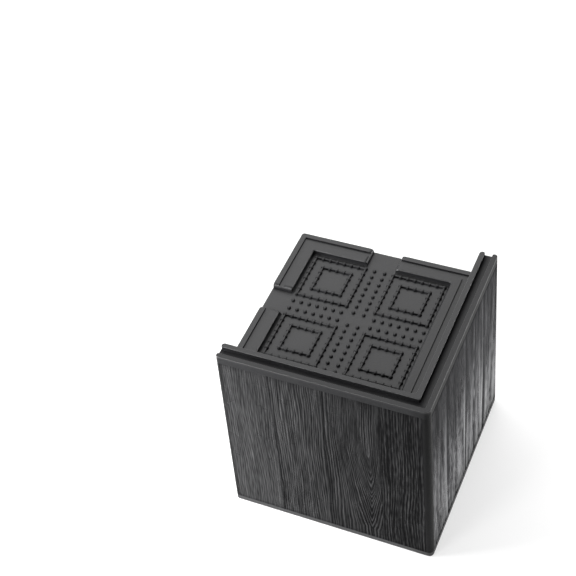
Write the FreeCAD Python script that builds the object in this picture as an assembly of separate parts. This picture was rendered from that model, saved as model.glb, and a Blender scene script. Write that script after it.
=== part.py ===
import FreeCAD, Part
import math
import os

V = FreeCAD.Vector

# Overall form
base_width = 146.0
top_width = 141.6
total_height = 152.0
corner_radius = 2.0
wall_corner_radius = 3.5
foot_round = 1.0

# Platform that the furniture leg stands on
lift_height = 127.0
frame_height = 3.5
frame_border = 14.1
field_corner = 1.5
channel_width = 20.6
channel_lip = 2.4
line_border = 4.0
line_width = 4.2
line_depth = 1.0
frame_edge_bevel = 0.5

# Anti-slip pattern on the field
ring_border = 3.5
ring_pitch = 5.2
ring_gap_steps = 3
bead_rib = 1.1
bead_height = 0.8
pip_height = 1.0
pip_foot = 2.5
pip_head = 1.5
pip_sides = 4
row_border = 3.0
row_pitch = 5.8
row_gap = 7.3
cross_row_first = 1
side_row_first = 2

# Raised wall along the front and the right side
wall_foot = 14.0
wall_top = 12.2
wall_inner_corner = 3.0
ridge_width = 3.5
ridge_height = 3.0
ridge_round = 0.3
ridge_end_round = 1.3
groove_corner = 0.6

# Wood-grained panels sunk into the four sides
panel_depth = 0.5
panel_corner_border = 4.5
panel_end_border = 2.3
panel_foot_border = 4.5
panel_rim_border = 6.0
panel_open_border = 4.3

# Hollow underside
shell = 3.6
plate = 4.0
cavity_corner = 1.5
rib = 2.6
ribs_per_way = 2
core_roof = 6.0

platform_top = lift_height + frame_height
ridge_base = total_height - ridge_height
draft = (base_width - top_width) / 2 / total_height


def half_at(z):
    """Half of the outer width at a height, with the sides drawn in by the draft."""
    return base_width / 2 - draft * z


def wall_inner_at(z):
    """Distance from the middle to the wall's inner face at a height."""
    share = (z - platform_top) / (total_height - platform_top)
    return half_at(z) - wall_foot - (wall_top - wall_foot) * share


def rounded(points, z):
    """Closed wire through (x, y, corner radius) points at one height."""
    count = len(points)
    starts = []
    edges = []
    for i in range(count):
        x, y, radius = points[i]
        here = V(x, y, z)
        back = V(points[i - 1][0], points[i - 1][1], z) - here
        ahead = V(points[(i + 1) % count][0], points[(i + 1) % count][1], z) - here
        back.normalize()
        ahead.normalize()
        turn = back.getAngle(ahead)
        reach = radius / math.tan(turn / 2)
        middle = back + ahead
        middle.normalize()
        apex = here + middle * (radius / math.sin(turn / 2) - radius)
        starts.append((here + back * reach, apex, here + ahead * reach, radius))
    for i in range(count):
        enter, apex, leave, radius = starts[i]
        if radius > 0:
            edges.append(Part.Arc(enter, apex, leave).toShape())
        following = starts[(i + 1) % count][0]
        edges.append(Part.LineSegment(leave, following).toShape())
    return Part.Wire(edges)


def prism(points, low, high):
    face = Part.Face(rounded(points, low))
    return face.extrude(V(0, 0, high - low))


def taper(points_low, low, points_high, high):
    """Solid between two outlines with flat sides, its upright edges rounded by the corner radii."""
    count = len(points_low)
    foot = [V(x, y, low) for x, y, radius in points_low]
    head = [V(x, y, high) for x, y, radius in points_high]
    under = foot[::-1]
    faces = [Part.Face(Part.makePolygon(under + under[:1])), Part.Face(Part.makePolygon(head + head[:1]))]
    for i in range(count):
        j = (i + 1) % count
        faces.append(Part.Face(Part.makePolygon([foot[i], foot[j], head[j], head[i], foot[i]])))
    skin = Part.makeShell(faces)
    skin.sewShape()
    shape = Part.makeSolid(skin)
    for radius in sorted({p[2] for p in points_low if p[2] > 0}, reverse=True):
        ends = [(foot[i], head[i]) for i in range(count) if points_low[i][2] == radius]
        upright = [e for e in shape.Edges if any(joins(e, a, b) for a, b in ends)]
        shape = shape.makeFillet(radius, upright)
    return shape


def joins(edge, a, b):
    if len(edge.Vertexes) != 2:
        return False
    p, q = (v.Point for v in edge.Vertexes)
    return (p - a).Length + (q - b).Length < 1e-4 or (p - b).Length + (q - a).Length < 1e-4


def square(half, radius, cx=0.0, cy=0.0):
    return [
        (cx - half, cy - half, radius),
        (cx + half, cy - half, radius),
        (cx + half, cy + half, radius),
        (cx - half, cy + half, radius),
    ]


def ell(outside, inside, reach, end_round, outer_round, inner_round):
    """L along the front and the right, between two distances from the middle."""
    return [
        (-reach, -outside, end_round),
        (outside, -outside, outer_round),
        (outside, reach, end_round),
        (inside, reach, end_round),
        (inside, -inside, inner_round),
        (-reach, -inside, end_round),
    ]


def edges_where(shape, test):
    return [e for e in shape.Edges if test(e)]


def all_at(edge, z):
    return all(abs(p.z - z) < 1e-3 for p in edge.discretize(3))


# Drafted block with the seat cut out of its top
far = base_width


def block_outline(z):
    half = half_at(z)
    return [
        (-half, -half, corner_radius),
        (half, -half, wall_corner_radius),
        (half, half, corner_radius),
        (-half, half, corner_radius),
    ]


def seat_outline(z):
    inner = wall_inner_at(z)
    return [(-far, -inner, 0), (inner, -inner, wall_inner_corner), (inner, far, 0), (-far, far, 0)]


above = total_height + ridge_height
block = taper(block_outline(0), 0, block_outline(total_height), total_height)
body = block.cut(taper(seat_outline(platform_top), platform_top, seat_outline(above), above))

# Groove along the top of the wall, which leaves a ridge on each side of it
crest = half_at(total_height)
groove_out = crest - ridge_width
groove_in = wall_inner_at(total_height) + ridge_width
groove = ell(groove_out, groove_in, far, 0, groove_corner, groove_corner)
body = body.cut(prism(groove, ridge_base, above))


def is_wall_end(edge, inset, foot):
    """Upright edge at the end of the wall, at a distance from the middle of the part."""
    low, high = sorted((edge.valueAt(t) for t in edge.ParameterRange), key=lambda p: p.z)
    if abs(high.z - total_height) > 0.01 or abs(low.z - foot) > 0.01:
        return False
    reach = half_at(high.z)
    ends = ((-reach, -inset), (inset, reach))
    return any(math.hypot(high.x - x, high.y - y) < 0.05 for x, y in ends)


wall_face = wall_inner_at(total_height)
body = body.makeFillet(corner_radius, edges_where(body, lambda e: is_wall_end(e, wall_face, platform_top)))
for inset in (groove_in, groove_out):
    body = body.makeFillet(ridge_end_round, edges_where(body, lambda e: is_wall_end(e, inset, ridge_base)))
body = body.makeFillet(ridge_round, edges_where(body, lambda e: all_at(e, total_height)))

# Field inside a frame, with a round-lipped channel out through the middle of each open side
seat_half = half_at(platform_top) - wall_foot / 2
mx, my = -wall_foot / 2, wall_foot / 2
f = seat_half - frame_border
c = channel_width / 2
body = body.cut(prism(square(f, field_corner, mx, my), lift_height, above))


def channel():
    """Tool that runs out to the back from the middle of the field."""
    lip_foot = platform_top - channel_lip
    slant = channel_lip * (1 - math.sqrt(0.5))
    edges = []
    for side in (-1, 1):
        enter = V(mx + side * c, my, lip_foot)
        apex = V(mx + side * (c + slant), my, platform_top - slant)
        leave = V(mx + side * (c + channel_lip), my, platform_top)
        top = V(leave.x, my, above)
        edges.append(Part.LineSegment(V(enter.x, my, lift_height), enter).toShape())
        edges.append(Part.Arc(enter, apex, leave).toShape())
        edges.append(Part.LineSegment(leave, top).toShape())
    for z, reach in ((lift_height, c), (above, c + channel_lip)):
        edges.append(Part.LineSegment(V(mx - reach, my, z), V(mx + reach, my, z)).toShape())
    outline = Part.Wire(Part.sortEdges(edges)[0])
    return Part.Face(outline).extrude(V(0, far, 0))


back_channel = channel()
left_channel = back_channel.copy()
left_channel.rotate(V(mx, my, 0), V(0, 0, 1), 90)
body = body.cut([back_channel, left_channel])


# Softened edges of the frame and of the foot
def at_frame_end(p):
    """True at the outer face of an open side or at the side of the field."""
    reach = half_at(p.z)
    across, along = abs(p.x - mx), abs(p.y - my)
    outer = abs(p.x + reach) < 0.01 or abs(p.y - reach) < 0.01
    return outer or abs(max(across, along) - f) < 0.01


def is_frame_edge(edge):
    """Convex edge round the top of the frame, down along the ends of the channels' lips."""
    ends = [edge.valueAt(t) for t in edge.ParameterRange]
    middle = edge.valueAt(sum(edge.ParameterRange) / 2)
    if min(p.z for p in ends) < lift_height - 0.01 or max(p.z for p in ends) > platform_top + 0.01:
        return False
    if all_at(edge, lift_height) or meets_wall(middle):
        return False
    if all_at(edge, platform_top):
        return at_frame_end(middle) or edge.Curve.TypeId != "Part::GeomLine"
    near_channel = min(abs(middle.x - mx), abs(middle.y - my)) < c + channel_lip
    return at_frame_end(middle) and near_channel


def meets_wall(p):
    inner = wall_inner_at(platform_top)
    return p.x > inner - wall_inner_corner or p.y < -inner + wall_inner_corner


body = body.makeChamfer(frame_edge_bevel, edges_where(body, is_frame_edge))
body = body.makeFillet(foot_round, edges_where(body, lambda e: all_at(e, 0)))

# Shallow line sunk into the frame all the way round
line_outer = seat_half - line_border
line_floor = platform_top - line_depth
line_ring = prism(square(line_outer, 0, mx, my), line_floor, above)
line_ring = line_ring.cut(prism(square(line_outer - line_width, 0, mx, my), line_floor, above))
body = body.cut(line_ring)


# Sunk panels that carry the grain on each side
def panel(turn, high, left_border, right_border):
    """Tool for one side, turned from the front, its floor parallel to the drafted face."""
    def strip(z):
        left = left_border - half_at(z)
        right = half_at(z) - right_border
        outside = -half_at(z) - panel_depth
        floor = panel_depth - half_at(z)
        return [(left, outside, 0), (right, outside, 0), (right, floor, 0), (left, floor, 0)]
    tool = taper(strip(panel_foot_border), panel_foot_border, strip(high), high)
    tool.rotate(V(0, 0, 0), V(0, 0, 1), turn)
    return tool


wall_panel_top = total_height - panel_rim_border
open_panel_top = platform_top - panel_open_border
body = body.cut([
    panel(0, wall_panel_top, panel_end_border, panel_corner_border),
    panel(90, wall_panel_top, panel_corner_border, panel_end_border),
    panel(180, open_panel_top, panel_end_border, panel_end_border),
    panel(270, open_panel_top, panel_end_border, panel_end_border),
])

# Hollow underside with crossing ribs, and the core of the wall
roof = lift_height - plate
hollow_foot = square(half_at(0) - shell, cavity_corner)
hollow_head = square(half_at(roof) - shell, cavity_corner)
hollow = taper(hollow_foot, 0, hollow_head, roof)
pitch = (base_width - 2 * shell + rib) / (ribs_per_way + 1)
ribs = []
for i in range(ribs_per_way):
    at = (i - (ribs_per_way - 1) / 2) * pitch
    ribs.append(Part.makeBox(rib, far, roof, V(at - rib / 2, -far / 2, 0)))
    ribs.append(Part.makeBox(far, rib, roof, V(-far / 2, at - rib / 2, 0)))
body = body.cut(hollow.cut(ribs))


def core_outline(z):
    outside = half_at(z) - shell
    return ell(outside, wall_inner_at(z) + shell, half_at(z) - shell, 0, cavity_corner, cavity_corner)


core_low = roof - plate
core_high = total_height - core_roof
core = taper(core_outline(core_low), core_low, core_outline(core_high), core_high)
body = body.cut(core.cut(ribs))


# Pips on the field: squares of beaded rings, and double rows in the cross between them
def pip(x, y, height):
    def polygon(width):
        turns = [2 * math.pi * i / pip_sides for i in range(pip_sides)]
        return [(x + width / 2 * math.cos(a), y + width / 2 * math.sin(a), 0) for a in turns]
    return taper(polygon(pip_foot), lift_height, polygon(pip_head), lift_height + height)


ring_steps = round((f - ring_border - c) / ring_pitch)
square_middle = f - ring_border - ring_steps * ring_pitch / 2
bead_top = lift_height + bead_height
pips = []
for sx in (-1, 1):
    for sy in (-1, 1):
        qx = mx + sx * square_middle
        qy = my + sy * square_middle
        for steps in (ring_steps, ring_steps - ring_gap_steps):
            reach = steps * ring_pitch / 2
            outside = prism(square(reach + bead_rib / 2, 0, qx, qy), lift_height, bead_top)
            inside = prism(square(reach - bead_rib / 2, 0, qx, qy), lift_height, bead_top)
            pips.append(outside.cut(inside))
            for i in range(steps):
                along = i * ring_pitch - reach
                for x, y in ((along, -reach), (reach, along), (-along, reach), (-reach, -along)):
                    pips.append(pip(qx + x, qy + y, bead_height))
row_last = int((f - row_border) / row_pitch)
for side in (-1, 1):
    for row in (-row_gap / 2, row_gap / 2):
        for i in range(cross_row_first, row_last + 1):
            pips.append(pip(mx + row, my + side * i * row_pitch, pip_height))
        for i in range(side_row_first, row_last + 1):
            pips.append(pip(mx + side * i * row_pitch, my + row, pip_height))
body = body.fuse(pips)

body = body.removeSplitter()
solid = body.Solids[0]
print("solids", len(body.Solids), "valid", solid.isValid(), "faces", len(solid.Faces))
print("volume cm3", round(solid.Volume / 1000, 1), "box", solid.optimalBoundingBox())

os.makedirs("parts", exist_ok=True)
solid.exportStep("parts/riser.step")
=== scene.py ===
import math
import bpy
import numpy as np
from mathutils import Matrix, Vector


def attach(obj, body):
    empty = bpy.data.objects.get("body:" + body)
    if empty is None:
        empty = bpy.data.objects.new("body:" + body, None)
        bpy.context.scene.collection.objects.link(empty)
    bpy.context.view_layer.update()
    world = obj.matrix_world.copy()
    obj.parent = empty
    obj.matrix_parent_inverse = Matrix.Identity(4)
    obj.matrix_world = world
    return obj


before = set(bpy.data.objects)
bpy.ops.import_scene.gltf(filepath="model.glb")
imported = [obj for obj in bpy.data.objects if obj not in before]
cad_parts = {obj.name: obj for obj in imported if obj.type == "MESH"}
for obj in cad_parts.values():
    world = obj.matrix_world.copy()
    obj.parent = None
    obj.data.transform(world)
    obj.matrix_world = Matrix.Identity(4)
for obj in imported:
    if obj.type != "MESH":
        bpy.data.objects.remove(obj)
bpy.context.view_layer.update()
scene = bpy.context.scene
MM = 0.001

# Sizes shared with the part, in millimetres
base_width = 146.0
top_width = 141.6
total_height = 152.0
lift_height = 127.0
platform_top = 130.5
wall_foot = 14.0
frame_border = 14.1
channel_width = 20.6
panel_corner_border = 4.5
panel_end_border = 2.3
panel_foot_border = 4.5
panel_rim_border = 6.0
panel_open_border = 4.3
ring_pitch = 5.2
ring_steps = (7, 4)
square_spacing = 56.6
row_pitch = 5.8
row_gap = 7.3
row_last = 8
mx, my = -wall_foot / 2, wall_foot / 2

# Grain mesh and relief, in millimetres
row_height = 0.95
columns = 480
edge_inset = 0.02
crest_inset = 0.03
line_relief = 0.15
swell_relief = 0.17
joint_relief = 0.45
calm_relief = 0.25
deepest = 0.47
end_run = 1.2
rim_run = 3.0
foot_run = 12.0
foot_share = 0.9
shadow_run = 5.0

# Pips, ribs and coves of the field: radius or half width against height, in millimetres
bead_dome = [(1.50, -0.05), (1.46, 0.60), (1.27, 1.10), (0.92, 1.38), (0.46, 1.51), (0, 1.55)]
spot_dome = [(1.36, -0.05), (1.32, 0.50), (1.15, 0.95), (0.84, 1.20), (0.43, 1.32), (0, 1.36)]
dome_turns = 16
rib_side = [(0.72, -0.05), (0.69, 0.70), (0.60, 1.02), (0.33, 1.20)]
rib_top = 1.25
cove_reach = 1.9
cove_steps = 6
cove_sink = 0.02

# Places of the painted shade, sheen and highlights on the plastic, in millimetres: heights, then distances
# out from the middle
foot_band = (4.6, 4.2)
groove_walls = (141.0, 144.0, 149.2, 150.2)
crown = (150.2, 150.8)
rim = (145.0, 146.5)
groove_across = (61.5, 70.5)
outer_ridge = (66.8, 67.6)
outer_face = (69.0, 70.0)
right_side = (58.0, 67.0)

# Colours
black = (0, 0, 0, 1)
white = (1, 1, 1, 1)
plastic_dark = (0.013, 0.013, 0.014, 1)
plastic_light = (0.020, 0.020, 0.021, 1)
# Paler grey: painted highlight on the rim face and the foot band
painted_highlight_grey = (0.045, 0.045, 0.047, 1)
# Near black: painted shade on right-facing and right-side faces
painted_shade_grey = (0.004, 0.004, 0.004, 1)
# Grain greys: painted shade in the grooves and painted highlight on the crests
grain_painted_shade = (0.010, 0.010, 0.0105, 1)
grain_painted_highlight = (0.050, 0.050, 0.052, 1)
floor_grey = (0.50, 0.50, 0.50, 1)


def half_at(z):
    return base_width / 2 - (base_width - top_width) / 2 * z / total_height


# Seeded gradient noise
class Noise:
    def __init__(self, seed):
        rng = np.random.RandomState(seed)
        self.perm = np.tile(rng.permutation(256), 3)
        angle = rng.rand(256) * 2 * math.pi
        self.gx, self.gy = np.cos(angle), np.sin(angle)

    def corner(self, ix, iy, fx, fy):
        k = self.perm[(ix % 256) + self.perm[iy % 256]]
        return self.gx[k] * fx + self.gy[k] * fy

    def row(self, ix, iy, fx, fy, wx):
        return self.corner(ix, iy, fx, fy) * (1 - wx) + self.corner(ix + 1, iy, fx - 1, fy) * wx

    def __call__(self, x, y):
        ix, iy = np.floor(x).astype(int), np.floor(y).astype(int)
        fx, fy = x - ix, y - iy
        wx = fx * fx * fx * (fx * (fx * 6 - 15) + 10)
        wy = fy * fy * fy * (fy * (fy * 6 - 15) + 10)
        low = self.row(ix, iy, fx, fy, wx)
        high = self.row(ix, iy + 1, fx, fy - 1, wx)
        return (low * (1 - wy) + high * wy) * 1.4


# Wood grain of one plank: how far each point stands up as a crest, with random tone and a painted light
# gradient across the side added, and the slow swell under the lines
def plank_grain(u, z, plank):
    n = Noise(plank["seed"])
    wander = plank["wander"] * n(u / 18, z / 70) + 0.5 * n(u / 6 + 40, z / 26) + 0.25 * n(u / 2 + 9, z / 9)
    d = u + wander - plank["axis"]
    low, high = plank["reach"]
    climb = plank["pull"] * (np.clip(z + 4 * n(u / 9 + 2, z / 30 + 5), low, high) - low)
    arch = climb * np.exp(-(d / plank["spread"]) ** 2)
    rings = (np.sqrt(d * d + plank["tip"] ** 2) - arch) / plank["pitch"]
    rings = rings + 0.6 * n(rings / 2.3 + 51, z / 160 + 7)
    strength = np.clip(0.75 + 0.9 * n(rings + 3, z / 34), 0.2, 1) * plank["lines"]
    crest = (0.5 + 0.5 * np.cos(2 * math.pi * rings)) ** 1.8 * strength
    crest = crest + plank["mottle"] * n(u / 0.9 + 31, z / plank["fleck"] + 17)
    # The last term is painted light: the side lighter towards one end
    crest = crest + plank["cloud"] * n(u / 6 + 11, z / 60 + 5) + plank["lift"] + plank["lean"] * u
    swell = n(u / 4.6 + 23, z / 60 + 3) + 0.4 * n(u / 1.8 + 5, z / 24 + 9)
    return crest, swell


# Wood grain of one side: depth below the border in millimetres, and crest from 0 to 1, with painted
# highlight and shade beside the joints
def grain(u, z, planks):
    stand = np.zeros_like(u)
    swell = np.zeros_like(u)
    edges = [-1e3] + [p["left"] for p in planks[1:]] + [1e3]
    for i, plank in enumerate(planks):
        inside = (u >= edges[i]) & (u < edges[i + 1])
        plank_crest, plank_swell = plank_grain(u, z, plank)
        stand = np.where(inside, plank_crest, stand)
        swell = np.where(inside, plank_swell, swell)
    stand = np.clip(stand, 0, 1)
    depth = crest_inset + line_relief * (1 - stand) + swell_relief * (1 + 1.3 * swell)
    for plank in planks[1:]:
        away = u - plank["left"] - 0.6 * np.sin(z / 31 + plank["seed"])
        wide = 4.2 + 1.2 * np.sin(z / 40 + 2 * plank["seed"])
        vee = np.clip(1 - np.abs(away) / wide, 0, 1)
        depth = depth * (1 - 0.75 * vee) + joint_relief * vee
        # Painted highlight on one side of each joint and painted shade on the other
        painted_joint_streak = np.exp(-((away + 2.0) / 1.7) ** 2) - 1.2 * np.exp(-((away - 1.6) / 1.5) ** 2)
        stand = stand + plank["seam"] * painted_joint_streak * (0.7 + 0.3 * np.sin(z / 17 + plank["seed"]))
        stand = stand * (1 - 0.4 * np.exp(-((away - 0.5) / 0.6) ** 2))
    return np.clip(depth, 0, deepest), np.clip(stand, 0, 1)


def mesh_object(name, verts, faces, material, smooth=True):
    mesh = bpy.data.meshes.new(name)
    mesh.from_pydata(verts, [], faces)
    mesh.update()
    mesh.polygons.foreach_set("use_smooth", [smooth] * len(mesh.polygons))
    obj = bpy.data.objects.new(name, mesh)
    scene.collection.objects.link(obj)
    mesh.materials.append(material)
    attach(obj, "root")
    return obj


# A grained side; fade holds the height where the calming and the painted shade towards the top start, its
# share, and the painted shade under the rim
def grain_panel(name, turn, z_top, borders, planks, fade, material):
    rows = int((z_top - panel_foot_border) / row_height)
    tt, zz = np.meshgrid(np.linspace(0, 1, columns), np.linspace(panel_foot_border, z_top, rows))
    left, right = borders[0] - half_at(zz), half_at(zz) - borders[1]
    uu = left + (right - left) * tt
    depth, stand = grain(uu, zz, planks)
    low, share, shadow = fade
    calm_and_painted_shade = share * np.clip((zz / z_top - low) / (1 - low), 0, 1)
    depth = depth + (calm_relief - depth) * 0.5 * calm_and_painted_shade
    ends = np.clip(np.minimum(uu - left, right - uu) / end_run, 0, 1)
    depth = edge_inset + depth * ends
    near_rim = np.clip(1 - (z_top - zz) / rim_run, 0, 1)
    near_foot = foot_share * np.clip(1 - (zz - panel_foot_border) / foot_run, 0, 1)
    depth = depth + (deepest - depth) * np.maximum(near_rim, near_foot)
    depth[0] = edge_inset
    out = half_at(zz) - depth
    c, s = math.cos(turn), math.sin(turn)
    x = c * uu + s * out
    y = s * uu - c * out
    verts = np.stack([x, y, zz], -1).reshape(-1, 3) * MM
    i = np.arange(rows - 1)[:, None] * columns + np.arange(columns - 1)[None, :]
    faces = np.stack([i, i + 1, i + 1 + columns, i + columns], -1).reshape(-1, 4)
    obj = mesh_object(name, verts.tolist(), faces.tolist(), material)
    # Painted shadow under the rim; the crest colour and sheen also fade towards the top as painted shade
    stand = stand * (1 - shadow * np.clip(1 - (z_top - zz) / shadow_run, 0, 1))
    for label, value in (("crest", stand * (1 - 0.5 * calm_and_painted_shade)), ("painted_sheen", stand * (1 - calm_and_painted_shade) ** 2)):
        layer = obj.data.attributes.new(label, "FLOAT", "POINT")
        layer.data.foreach_set("value", value.ravel().astype(np.float32))


# Short ways to add shader nodes; a value is a number or another node's output
class Shader:
    def __init__(self, owner):
        owner.use_nodes = True
        self.nodes, self.links = owner.node_tree.nodes, owner.node_tree.links

    def feed(self, socket, value):
        if isinstance(value, bpy.types.NodeSocket):
            self.links.new(value, socket)
        else:
            socket.default_value = value

    def math(self, operation, *values, clamp=False):
        node = self.nodes.new("ShaderNodeMath")
        node.operation = operation
        node.use_clamp = clamp
        for socket, value in zip(node.inputs, values):
            self.feed(socket, value)
        return node.outputs["Value"]

    def between(self, value, span, low=0.0, high=1.0, curve="LINEAR"):
        node = self.nodes.new("ShaderNodeMapRange")
        node.interpolation_type = curve
        for label, number in zip(("From Min", "From Max", "To Min", "To Max"), (*span, low, high)):
            node.inputs[label].default_value = number
        self.feed(node.inputs["Value"], value)
        return node.outputs["Result"]

    def placed(self, value, span, low=0.0, high=1.0, curve="LINEAR"):
        return self.between(value, [MM * mark for mark in span], low, high, curve)

    def ramp(self, value, first, last, *others):
        node = self.nodes.new("ShaderNodeValToRGB")
        stops = node.color_ramp.elements
        for stop, (position, colour) in zip(stops, (first, last)):
            stop.position = position
            stop.color = colour
        for position, colour in others:
            stops.new(position).color = colour
        self.feed(node.inputs["Fac"], value)
        return node.outputs["Color"]

    def mix(self, factor, a, b):
        node = self.nodes.new("ShaderNodeMix")
        node.data_type = "RGBA"
        self.feed(node.inputs["Factor"], factor)
        self.feed(node.inputs["A"], a)
        self.feed(node.inputs["B"], b)
        return node.outputs["Result"]

    def noise(self, vector, scale, detail):
        node = self.nodes.new("ShaderNodeTexNoise")
        node.inputs["Scale"].default_value = scale
        node.inputs["Detail"].default_value = detail
        self.feed(node.inputs["Vector"], vector)
        return node.outputs["Fac"]

    def split(self, vector):
        node = self.nodes.new("ShaderNodeSeparateXYZ")
        self.feed(node.inputs["Vector"], vector)
        return node.outputs["X"], node.outputs["Y"], node.outputs["Z"]

    def attribute(self, name):
        node = self.nodes.new("ShaderNodeAttribute")
        node.attribute_name = name
        return node.outputs["Fac"]

    def surface(self, label, value):
        self.feed(self.nodes["Principled BSDF"].inputs[label], value)


# Cloudy roughness and fine specks, shared by all the plastics
def plastic(name, roughness, fine):
    material = bpy.data.materials.new(name)
    shader = Shader(material)
    shader.surface("IOR", 1.5)
    coords = shader.nodes.new("ShaderNodeTexCoord").outputs["Object"]
    cloud = shader.noise(coords, 45, 4)
    shader.surface("Roughness", shader.between(cloud, (0.0, 1.0), roughness - 0.05, roughness + 0.07))
    bump = shader.nodes.new("ShaderNodeBump")
    bump.inputs["Strength"].default_value = fine
    bump.inputs["Distance"].default_value = 0.0002
    shader.feed(bump.inputs["Height"], shader.noise(coords, 900, 2))
    shader.surface("Normal", bump.outputs["Normal"])
    return material, shader, coords, cloud


# Plain plastic: level faces glossier than upright ones as painted sheen, painted highlights on rounded
# edges, painted shade in the groove, a painted highlight on the rim face and the foot band, and painted
# shade on right flanks
def plain_plastic(name, roughness, fine, rounded, level_from):
    material, shader, coords, cloud = plastic(name, roughness, fine)
    x, y, z = shader.split(coords)
    nx, _, nz = shader.split(shader.nodes.new("ShaderNodeNewGeometry").outputs["Normal"])
    foot = shader.placed(z, foot_band)
    outward = shader.math("MAXIMUM", x, shader.math("MULTIPLY", y, -1.0))
    height = shader.math("MULTIPLY", z, 1 / (total_height * MM))
    # Painted shade in the wall-top groove, by height and by distance out from the middle, put into the
    # specular level
    a, b, c, d = [mark / total_height for mark in groove_walls]
    groove_painted_shade = shader.ramp(height, (a, white), (d, white), (b, black), (c, black))
    across = shader.placed(outward, groove_across, curve="SMOOTHSTEP")
    open_sky = shader.math("MAXIMUM", groove_painted_shade, across)
    dimmed = shader.math("MULTIPLY", open_sky, shader.placed(outward, outer_ridge, 1.0, 0.70))
    # Level faces glossier than upright ones, as painted sheen
    painted_sheen_level = shader.between(shader.math("MULTIPLY", nz, dimmed), (level_from, 1.0), 0.02, 0.32)
    # Painted sheen on the foot band, added to the painted gloss of level faces
    painted_gloss_level = shader.math("MULTIPLY_ADD", foot, 0.3, painted_sheen_level)
    level = shader.math("SUBTRACT", 1.0, nz)
    edge = shader.math("MULTIPLY", nz, level, clamp=True)
    # Painted highlight on rounded edges, strongest on the ridge tops
    painted_edge_highlight = shader.math("MULTIPLY", edge, shader.placed(z, crown, 0.7, 3.0))
    shader.surface("Specular IOR Level", shader.math("MULTIPLY_ADD", painted_edge_highlight, rounded, painted_gloss_level))
    tint = shader.ramp(cloud, (0.3, plastic_dark), (0.75, plastic_light))
    # Painted highlight: the rim's outer upright face and the foot band paler
    rim_painted_highlight = shader.math("MULTIPLY", shader.placed(z, rim), shader.placed(outward, outer_face, 0.0, 0.45))
    painted_light = shader.math("MULTIPLY_ADD", rim_painted_highlight, level, foot)
    tint_with_painted_light = shader.mix(painted_light, tint, painted_highlight_grey)
    # Painted shade: right-facing faces and upright faces on the right side darker
    right_painted_shade = shader.math("MULTIPLY", level, shader.placed(x, right_side, 0.0, 0.45))
    painted_shade = shader.math("MULTIPLY_ADD", nx, 0.6, right_painted_shade, clamp=True)
    shader.surface("Base Color", shader.mix(painted_shade, tint_with_painted_light, painted_shade_grey))
    return material


# Grained plastic: crests paler and shinier as painted highlight and sheen, grooves darker as painted shade
def crest_plastic(name, roughness, fine):
    material, shader = plastic(name, roughness, fine)[:2]
    # Painted highlight on the crests and painted shade in the grooves, mixed with the grain's random tone
    shade = shader.ramp(shader.attribute("crest"), (0.1, grain_painted_shade), (0.9, grain_painted_highlight))
    shader.surface("Base Color", shade)
    painted_sheen = shader.math("POWER", shader.attribute("painted_sheen"), 2.0)
    shader.surface("Specular IOR Level", shader.between(painted_sheen, (0.0, 1.0), 0.0008, 0.45))
    return material


body_plastic = plain_plastic("moulded_plastic", 0.42, 0.45, 1.6, 0.0)
field_plastic = plain_plastic("field_plastic", 0.42, 0.25, 0.0, 0.6)
grain_plastic = crest_plastic("grained_plastic", 0.27, 0.10)
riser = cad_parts["riser"]
riser.data.materials.clear()
riser.data.materials.append(body_plastic)

# Wood-grained sides
wall_z = total_height - panel_rim_border
open_z = platform_top - panel_open_border
usual = dict(pull=0.0, reach=(0, 90), pitch=1.9, tip=1.0, spread=14.0, wander=1.6, lines=1.0, mottle=0.25,
             fleck=8.0, cloud=0.2, lift=0.06, seam=0.2, lean=0.0)


def plank(left, seed, axis, **own):
    return {**usual, "left": left, "seed": seed, "axis": axis, **own}


# Front planks lighter towards the left, as painted light
front_lean = -0.0022
front_planks = [
    plank(-72, 11, -90, pitch=1.6, wander=2.4, lines=0.36, mottle=0.2, fleck=9.0, cloud=0.1, lift=0.23,
          lean=front_lean),
    plank(-36, 12, -60, pitch=1.6, wander=1.8, lines=0.52, mottle=0.2, fleck=12.0, cloud=0.12, lift=0.18,
          seam=0.14, lean=front_lean),
    plank(0, 13, 30, pull=0.32, reach=(15, 95), pitch=2.2, tip=0.5, lines=0.55, mottle=0.12, cloud=0.1,
          lift=0.19, seam=0.14, lean=front_lean),
    plank(38, 14, 80, pitch=1.9, wander=3.4, lines=0.42, mottle=0.22, fleck=7.0, cloud=0.1, lift=0.2,
          seam=0.08, lean=front_lean),
]
right_planks = [
    plank(-72, 21, -90, wander=2.0, lines=0.8, mottle=0.4, cloud=0.5, lift=0.14, seam=0.7),
    plank(-38, 22, -80, lines=0.7, mottle=0.4, fleck=6.0, cloud=0.5, lift=0.14, seam=0.7),
    plank(1, 23, 20, pull=0.10, reach=(30, 120), lines=0.8, mottle=0.3, cloud=0.5, lift=0.14, seam=0.7),
    plank(40, 24, 90, wander=2.2, lines=0.8, mottle=0.4, cloud=0.5, lift=0.14, seam=0.7),
]
back_planks = [
    plank(-72, 31, -90, pitch=1.6, wander=2.0, lines=0.45, mottle=0.24, cloud=0.12, lift=0.25, seam=0.1),
    plank(-37, 32, -19, pull=0.30, reach=(20, 90), pitch=2.2, tip=0.5, lines=0.55, mottle=0.12, cloud=0.1,
          lift=0.15, seam=0.1),
    plank(0, 33, -60, pitch=1.6, wander=2.4, lines=0.45, mottle=0.26, fleck=6.0, cloud=0.12, lift=0.25,
          seam=0.1),
    plank(37, 34, 52, pull=-0.24, reach=(30, 95), pitch=1.8, spread=6, wander=3.0, lines=0.35, mottle=0.2,
          fleck=4.0, cloud=0.1, lift=0.2, seam=0.1),
]
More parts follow.
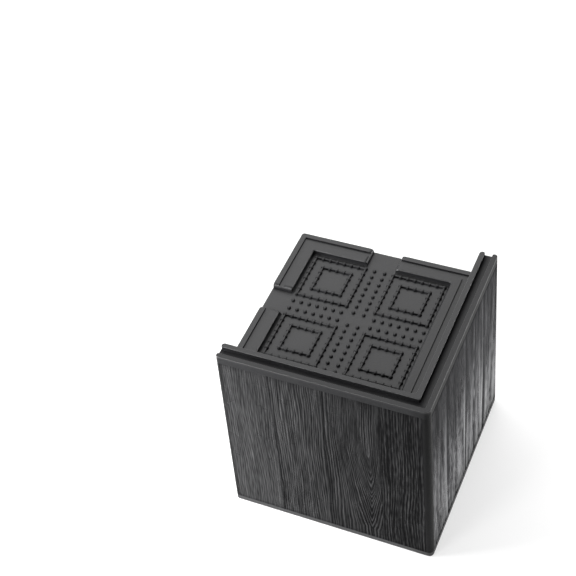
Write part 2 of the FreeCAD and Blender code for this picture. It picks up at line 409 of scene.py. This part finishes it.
left_planks = [
    plank(-72, 41, -54, pull=-0.24, reach=(25, 90), pitch=1.8, spread=6, wander=3.0, lines=0.35, mottle=0.2,
          fleck=4.0, cloud=0.1, lift=0.2, seam=0.1),
    plank(-37, 42, -90, pitch=1.6, wander=1.8, lines=0.5, mottle=0.2, fleck=12.0, cloud=0.12, lift=0.25,
          seam=0.1),
    plank(0, 43, 18, pull=0.30, reach=(15, 80), pitch=2.2, tip=0.5, lines=0.55, mottle=0.12, cloud=0.1,
          lift=0.15, seam=0.1),
    plank(37, 44, 90, pitch=1.6, wander=2.4, lines=0.45, mottle=0.26, fleck=7.0, cloud=0.12, lift=0.3,
          seam=0.1),
]
end, corner = panel_end_border, panel_corner_border
quarter = math.pi / 2
# The last tuple of each side sets its painted shade towards the top and under the rim
grain_panel("grain_front", 0.0, wall_z, (end, corner), front_planks, (0.7, 0.1, 0.1), grain_plastic)
grain_panel("grain_right", quarter, wall_z, (corner, end), right_planks, (0.15, 0.95, 1.0), grain_plastic)
grain_panel("grain_back", 2 * quarter, open_z, (end, end), back_planks, (0.7, 0.3, 0.3), grain_plastic)
grain_panel("grain_left", -quarter, open_z, (end, end), left_planks, (0.7, 0.3, 0.3), grain_plastic)

# Places of the beads on the rings, of the single pips in rows, and of the ribs that string the beads
beads = []
spots = []
ribs = []
for sx in (-1, 1):
    for sy in (-1, 1):
        qx, qy = mx + sx * square_spacing / 2, my + sy * square_spacing / 2
        for steps in ring_steps:
            reach = steps * ring_pitch / 2
            ribs.append((qx, qy, reach))
            for i in range(steps):
                a = i * ring_pitch - reach
                beads += [(qx + a, qy - reach), (qx + reach, qy + a)]
                beads += [(qx - a, qy + reach), (qx - reach, qy - a)]
for side in (-1, 1):
    for row in (-row_gap / 2, row_gap / 2):
        spots += [(mx + row, my + side * i * row_pitch) for i in range(1, row_last + 1)]
        spots += [(mx + side * i * row_pitch, my + row) for i in range(2, row_last + 1)]


def field_point(x, y, h):
    return (x * MM, y * MM, (lift_height + h) * MM)


# Beads and pips as domes
verts, faces = [], []
angles = [2 * math.pi * k / dome_turns for k in range(dome_turns)]
for dome, places in ((bead_dome, beads), (spot_dome, spots)):
    for x, y in places:
        first = len(verts)
        for r, h in dome[:-1]:
            verts += [field_point(x + r * math.cos(a), y + r * math.sin(a), h) for a in angles]
        verts.append(field_point(x, y, dome[-1][1]))
        last = first + (len(dome) - 2) * dome_turns
        for k in range(dome_turns):
            after = (k + 1) % dome_turns
            for row in range(first, last, dome_turns):
                a, b = row + k, row + after
                faces.append((a, b, b + dome_turns, a + dome_turns))
            faces.append((last + k, last + after, len(verts) - 1))
mesh_object("field_pips", verts, faces, field_plastic)

# Ribs
profile = [(-d, h) for d, h in rib_side] + [(0.0, rib_top)] + rib_side[::-1]
m = len(profile)
verts, faces = [], []
for qx, qy, reach in ribs:
    first = len(verts)
    for cx, cy in ((-1, -1), (1, -1), (1, 1), (-1, 1)):
        verts += [field_point(qx + cx * (reach + d), qy + cy * (reach + d), h) for d, h in profile]
    for c in range(4):
        for j in range(m - 1):
            a, b = first + c * m + j, first + ((c + 1) % 4) * m + j
            faces.append((b, a, a + 1, b + 1))
mesh_object("field_ribs", verts, faces, field_plastic)

# Coves where the frame's inner walls meet the field, broken at the channels
field_half = half_at(platform_top) - wall_foot / 2 - frame_border
gap = channel_width / 2
arc = [quarter * k / cove_steps for k in range(cove_steps + 1)]
cove = [(cove_reach * (1 - math.cos(t)), cove_reach * (1 - math.sin(t))) for t in arc]
cove.append((-cove_sink, -cove_sink))
m = len(cove)
runs = []
for turn in (2 * quarter, -quarter):
    runs += [(turn, -field_half, -gap), (turn, gap, field_half)]
runs += [(turn, -field_half, field_half) for turn in (0.0, quarter)]
verts, faces = [], []
for turn, start, stop in runs:
    c, s = math.cos(turn), math.sin(turn)
    first = len(verts)
    for u in (start, stop):
        for d, h in cove:
            out = field_half - d
            verts.append(field_point(mx + c * u + s * out, my + s * u - c * out, h))
    for j in range(m):
        a, b = first + j, first + (j + 1) % m
        faces.append((a, a + m, b + m, b))
    faces.append(tuple(range(first, first + m)))
    faces.append(tuple(range(first + 2 * m - 1, first + m - 1, -1)))
mesh_object("field_coves", verts, faces, field_plastic, False)

# Floor and backdrop, both near white to the camera
floor_reach = 6.0
floor_z = -0.0002
floor_glow = 0.57
world_light = 0.30
floor_mat = bpy.data.materials.new("floor")
shader = Shader(floor_mat)
shader.surface("Base Color", floor_grey)
shader.surface("Roughness", 0.9)
shader.surface("Emission Color", white)
path = shader.nodes.new("ShaderNodeLightPath")
seen = shader.math("MAXIMUM", path.outputs["Is Camera Ray"], path.outputs["Is Glossy Ray"])
shader.surface("Emission Strength", shader.math("MULTIPLY", seen, floor_glow))
floor_mesh = bpy.data.meshes.new("floor")
floor_signs = ((-1, -1), (1, -1), (1, 1), (-1, 1))
floor_corners = [(sx * floor_reach, sy * floor_reach, floor_z) for sx, sy in floor_signs]
floor_mesh.from_pydata(floor_corners, [], [(0, 1, 2, 3)])
floor = bpy.data.objects.new("floor", floor_mesh)
floor_mesh.materials.append(floor_mat)
scene.collection.objects.link(floor)

world = bpy.data.worlds.new("studio")
scene.world = world
shader = Shader(world)
background = shader.nodes["Background"]
background.inputs["Color"].default_value = white
view_ray = shader.nodes.new("ShaderNodeLightPath").outputs["Is Camera Ray"]
backdrop = shader.math("MULTIPLY_ADD", view_ray, 1 - world_light, world_light)
shader.feed(background.inputs["Strength"], backdrop)


# Lamps, in metres and watts
def area(name, place, aim, size, power, mirrored=True):
    data = bpy.data.lights.new(name, "AREA")
    data.shape = "RECTANGLE"
    data.size, data.size_y = size
    data.energy = power
    obj = bpy.data.objects.new(name, data)
    obj.location = place
    obj.rotation_mode = "QUATERNION"
    obj.rotation_quaternion = (Vector(aim) - Vector(place)).to_track_quat("-Z", "Y")
    obj.visible_camera = False
    obj.visible_glossy = mirrored
    scene.collection.objects.link(obj)


sky_aim = Vector((-0.03, 0.03, 0.12))
area("sky", sky_aim + Vector((-0.325, 0.617, 0.717)) * 1.6, sky_aim, (1.5, 1.5), 22)
area("key", sky_aim + Vector((-0.325, -0.717, 0.617)) * 1.5, sky_aim, (0.36, 0.36), 5.5)
area("fill", (0.98, 0.45, 0.25), (0.07, 0.03, 0.06), (1.2, 0.4), 3)
area("rim", (0.77, 0.62, 0.39), (0.07, 0, 0.15), (0.3, 0.12), 3.0)
area("bounce", (0.20, 0.04, 0.004), (0.20, 0.04, 1.0), (0.22, 0.26), 2.3, False)
area("side", (-0.34, -0.20, 0.22), (0, -0.06, 0.06), (0.2, 0.2), 3.4)

# Camera
image_px = 576
focal_px = 1320.6
sensor_mm = 36
azimuth, elevation, roll = math.radians(27.847), math.radians(45.783), math.radians(-6.848)
distance = 1079.44 * MM
aim = Vector((-119.13, 129.62, 0)) * MM
flat = math.cos(elevation)
back = Vector((math.sin(azimuth) * flat, -math.cos(azimuth) * flat, math.sin(elevation)))
level_right = Vector((math.cos(azimuth), math.sin(azimuth), 0))
level_up = back.cross(level_right)
right = level_right * math.cos(roll) + level_up * math.sin(roll)
up = level_up * math.cos(roll) - level_right * math.sin(roll)
place = aim + back * distance
camera_data = bpy.data.cameras.new("camera")
camera_data.sensor_width = sensor_mm
camera_data.lens = focal_px / image_px * sensor_mm
camera_data.clip_start, camera_data.clip_end = 0.01, 50
camera = bpy.data.objects.new("camera", camera_data)
camera.matrix_world = Matrix((
    (right.x, up.x, back.x, place.x),
    (right.y, up.y, back.y, place.y),
    (right.z, up.z, back.z, place.z),
    (0, 0, 0, 1),
))
scene.collection.objects.link(camera)
scene.camera = camera

scene.view_settings.view_transform = "Standard"
